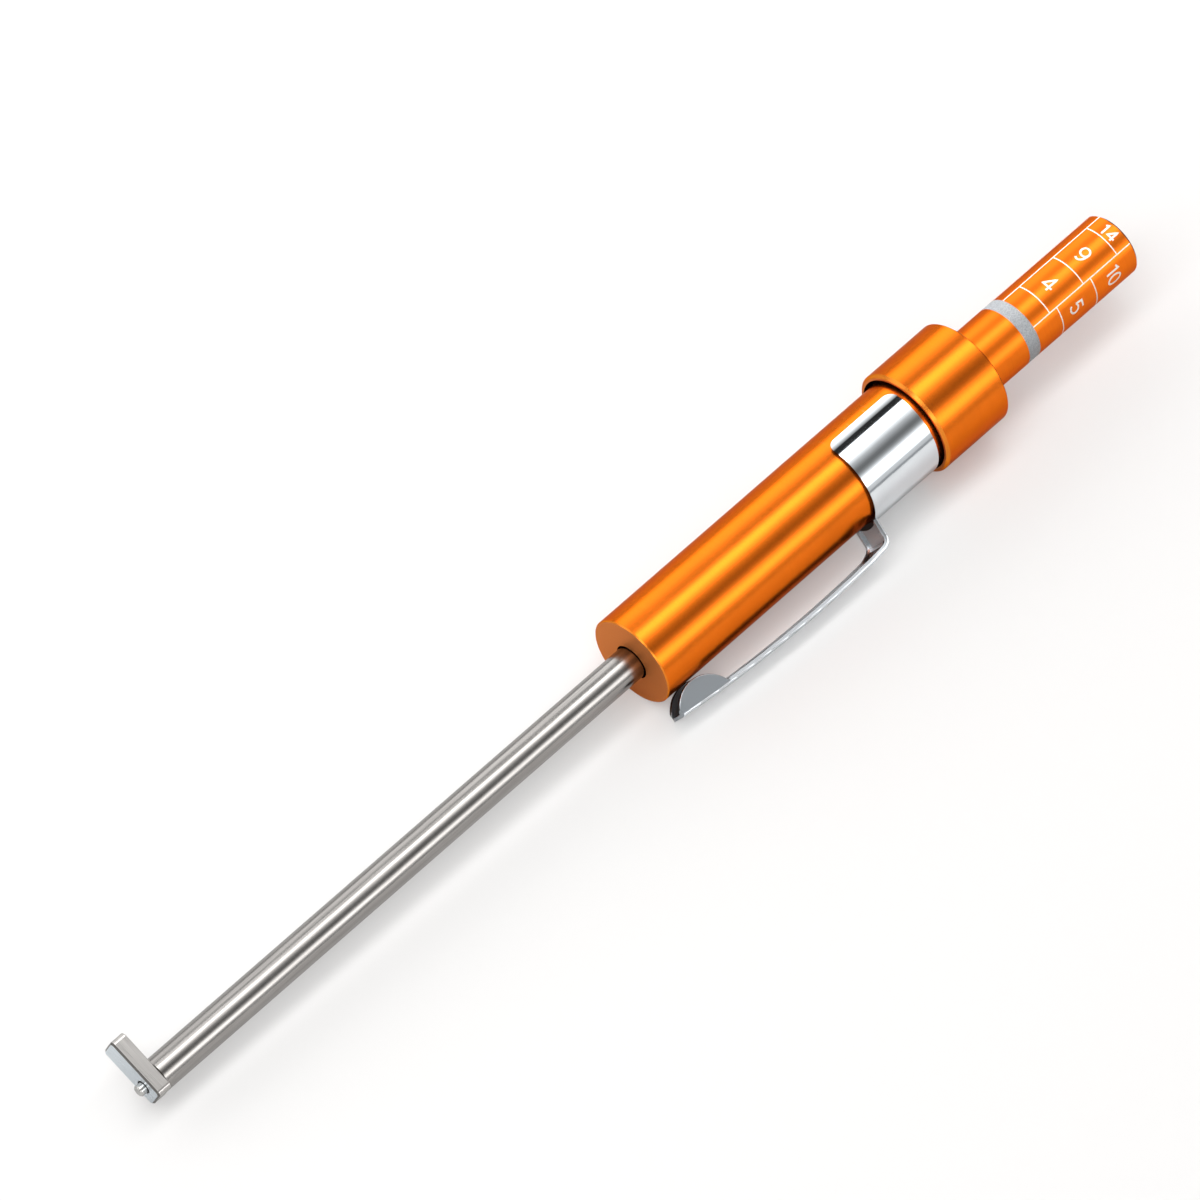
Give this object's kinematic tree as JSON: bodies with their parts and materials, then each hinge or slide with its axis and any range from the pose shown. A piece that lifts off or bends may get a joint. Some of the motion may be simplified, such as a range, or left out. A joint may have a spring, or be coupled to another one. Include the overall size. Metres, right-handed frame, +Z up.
{
  "type": "brake pad gauge",
  "caption": "Pen-type brake pad gauge: spring-loaded probe in a guide tube with a hooked foot, turned handle with pocket clip, and a sliding scale barrel.",
  "frame": {"origin": "centre of the probe tip's end face at rest", "axes": "+X along the gauge from the probe tip to the scale end, +Z up as the gauge lies on a table"},
  "size_m": [0.1389, 0.014, 0.012],
  "materials": {
    "anodised_orange": "satin orange anodised, turned",
    "stainless": "drawn stainless tube",
    "stainless_foot": "ground stainless",
    "probe_steel": "ground rod",
    "chrome_clip": "bright plated sheet steel",
    "brass": "turned brass",
    "spring_steel": "drawn wire",
    "plated_steel": "bright zinc",
    "black_steel": "blackened",
    "ring_polymer": "light grey polymer",
    "bearing_polymer": "dark bearing polymer"
  },
  "bodies": {
    "handle": {"handle_barrel": "anodised_orange", "collar": "anodised_orange", "collar_bush": "bearing_polymer", "stop_washer": "bearing_polymer", "guide_tube": "stainless", "foot": "stainless_foot", "tip_bush": "brass", "tube_ferrule": "brass", "ferrule_circlip": "spring_steel", "return_spring": "spring_steel"},
    "spring_carrier": {"thrust_washer": "plated_steel"},
    "plunger": {"scale_barrel": "anodised_orange", "limit_ring": "ring_polymer", "rod_holder": "brass", "holder_grub_screw": "black_steel", "rod_lock_nut": "plated_steel", "probe_rod": "probe_steel"},
    "clip": {"pocket_clip": "chrome_clip"}
  },
  "joints": [
    {"name": "plunger_slide", "type": "slide", "parent": "handle", "child": "spring_carrier", "axis": [-1, 0, 0], "range_m": [0, 0.021], "stiffness_N_per_m": 100, "springref_m": -0.005, "deforming": ["return_spring"]},
    {"name": "scale_turn", "type": "hinge", "parent": "spring_carrier", "child": "plunger", "pos_m": [0.1111, 0, 0], "axis": [1, 0, 0], "continuous": true},
    {"name": "clip_turn", "type": "hinge", "parent": "handle", "child": "clip", "pos_m": [0.1027, 0, 0], "axis": [1, 0, 0], "continuous": true}
  ]
}
